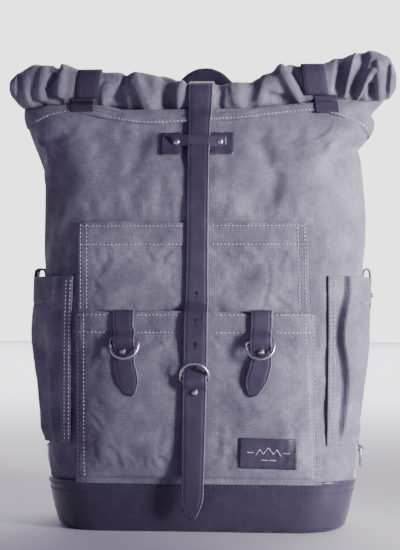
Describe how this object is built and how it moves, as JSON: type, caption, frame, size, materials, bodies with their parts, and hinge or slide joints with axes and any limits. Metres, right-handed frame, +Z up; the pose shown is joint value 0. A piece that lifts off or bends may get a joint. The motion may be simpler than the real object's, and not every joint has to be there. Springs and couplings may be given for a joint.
{
  "type": "travel backpack",
  "caption": "Roll-top travel backpack in waxed canvas on a leather base, with strap-and-ring closures, flat front pockets, side pockets, a carry handle and padded shoulder straps.",
  "frame": {"origin": "centre of the base's underside, on the surface the bag stands on", "axes": "+Z up, the front with the closure strap faces -Y, +X to the right as seen from the front"},
  "size_m": [0.4, 0.2312, 0.488],
  "materials": {
    "canvas": "waxed cotton canvas",
    "leather": "smooth black vegetable-tanned leather",
    "webbing": "woven cotton webbing",
    "nickel": "polished nickel plate",
    "board": "pressed fibre board",
    "padding": "padded canvas"
  },
  "bodies": {
    "bag": {"base_tray": "leather", "base_board": "board", "front_panel": "canvas", "back_panel": "canvas", "side_panel_left": "canvas", "side_panel_right": "canvas", "collar": "canvas", "roll": "canvas", "roll_band_left": "webbing", "roll_band_right": "webbing", "upper_pocket": "canvas", "lower_pocket": "canvas", "label": "leather", "keeper_patch": "leather", "keeper_loop": "leather", "keeper_rivet_left": "nickel", "keeper_rivet_right": "nickel", "closure_strap": "leather", "closure_anchor": "leather", "closure_stud": "nickel", "pocket_strap_left": "leather", "pocket_strap_right": "leather", "pocket_anchor_left": "leather", "pocket_anchor_right": "leather", "pocket_stud_left": "nickel", "pocket_stud_right": "nickel", "side_pocket_left": "canvas", "side_pocket_right": "canvas", "side_tab_anchor_left": "leather", "side_tab_anchor_right": "leather", "side_stud_left": "nickel", "side_stud_right": "nickel", "side_loop_left": "leather", "side_loop_right": "leather", "back_pad": "padding", "back_yoke": "leather", "handle_end_left": "leather", "handle_end_right": "leather", "strap_anchor_left": "leather", "strap_anchor_right": "leather"},
    "closure_ring": {"closure_ring": "nickel"},
    "closure_tail": {"closure_tail": "leather"},
    "carry_handle": {"carry_handle": "leather"},
    "pocket_ring_left": {"pocket_ring_left": "nickel"},
    "pocket_tail_left": {"pocket_tail_left": "leather"},
    "side_tab_left": {"side_tab_left": "leather"},
    "side_ring_left": {"side_ring_left": "nickel"},
    "strap_slider_left": {"strap_slider_left": "nickel"},
    "shoulder_left": {"shoulder_pad_left": "padding", "shoulder_webbing_left": "webbing"},
    "pocket_ring_right": {"pocket_ring_right": "nickel"},
    "pocket_tail_right": {"pocket_tail_right": "leather"},
    "side_tab_right": {"side_tab_right": "leather"},
    "side_ring_right": {"side_ring_right": "nickel"},
    "strap_slider_right": {"strap_slider_right": "nickel"},
    "shoulder_right": {"shoulder_pad_right": "padding", "shoulder_webbing_right": "webbing"}
  },
  "joints": [
    {"name": "closure_ring_swing", "type": "hinge", "parent": "bag", "child": "closure_ring", "pos_m": [-0.002, -0.0928, 0.153], "axis": [1, 0, 0], "range_deg": [0, 130]},
    {"name": "closure_tail_lift", "type": "hinge", "parent": "bag", "child": "closure_tail", "pos_m": [-0.002, -0.093, 0.13], "axis": [-1, 0, 0], "range_deg": [0, 75]},
    {"name": "carry_handle_swing", "type": "hinge", "parent": "bag", "child": "carry_handle", "pos_m": [-0.006, 0.0821, 0.392], "axis": [-1, 0, 0], "range_deg": [0, 95]},
    {"name": "pocket_ring_left_swing", "type": "hinge", "parent": "bag", "child": "pocket_ring_left", "pos_m": [-0.0714, -0.0928, 0.1935], "axis": [-1, 0, 0], "range_deg": [0, 140]},
    {"name": "pocket_tail_left_lift", "type": "hinge", "parent": "bag", "child": "pocket_tail_left", "pos_m": [-0.0735, -0.093, 0.17], "axis": [-1, 0, 0], "range_deg": [0, 65]},
    {"name": "side_tab_left_lift", "type": "hinge", "parent": "bag", "child": "side_tab_left", "pos_m": [-0.17704, -0.008, 0.2613], "axis": [0, 1, 0], "range_deg": [0, 110]},
    {"name": "side_ring_left_swing", "type": "hinge", "parent": "bag", "child": "side_ring_left", "pos_m": [-0.16243, 0, 0.079], "axis": [0, 1, 0], "range_deg": [0, 115]},
    {"name": "shoulder_left_swing", "type": "hinge", "parent": "bag", "child": "shoulder_left", "pos_m": [-0.118, 0.088, 0.064], "axis": [0.2581, 0, 0.9661], "range_deg": [-18, 18]},
    {"name": "strap_slider_left_slide", "type": "slide", "parent": "shoulder_left", "child": "strap_slider_left", "axis": [-0.2506, -0.2392, -0.9381], "range_m": [0, 0.055]},
    {"name": "pocket_ring_right_swing", "type": "hinge", "parent": "bag", "child": "pocket_ring_right", "pos_m": [0.0619, -0.0928, 0.1935], "axis": [-1, 0, 0], "range_deg": [0, 140]},
    {"name": "pocket_tail_right_lift", "type": "hinge", "parent": "bag", "child": "pocket_tail_right", "pos_m": [0.064, -0.093, 0.17], "axis": [-1, 0, 0], "range_deg": [0, 65]},
    {"name": "side_tab_right_lift", "type": "hinge", "parent": "bag", "child": "side_tab_right", "pos_m": [0.17304, -0.008, 0.2613], "axis": [0, -1, 0], "range_deg": [0, 110]},
    {"name": "side_ring_right_swing", "type": "hinge", "parent": "bag", "child": "side_ring_right", "pos_m": [0.16243, 0, 0.079], "axis": [0, -1, 0], "range_deg": [0, 115]},
    {"name": "shoulder_right_swing", "type": "hinge", "parent": "bag", "child": "shoulder_right", "pos_m": [0.118, 0.088, 0.064], "axis": [0.2581, 0, -0.9661], "range_deg": [-18, 18]},
    {"name": "strap_slider_right_slide", "type": "slide", "parent": "shoulder_right", "child": "strap_slider_right", "axis": [0.2506, -0.2392, -0.9381], "range_m": [0, 0.055]}
  ]
}
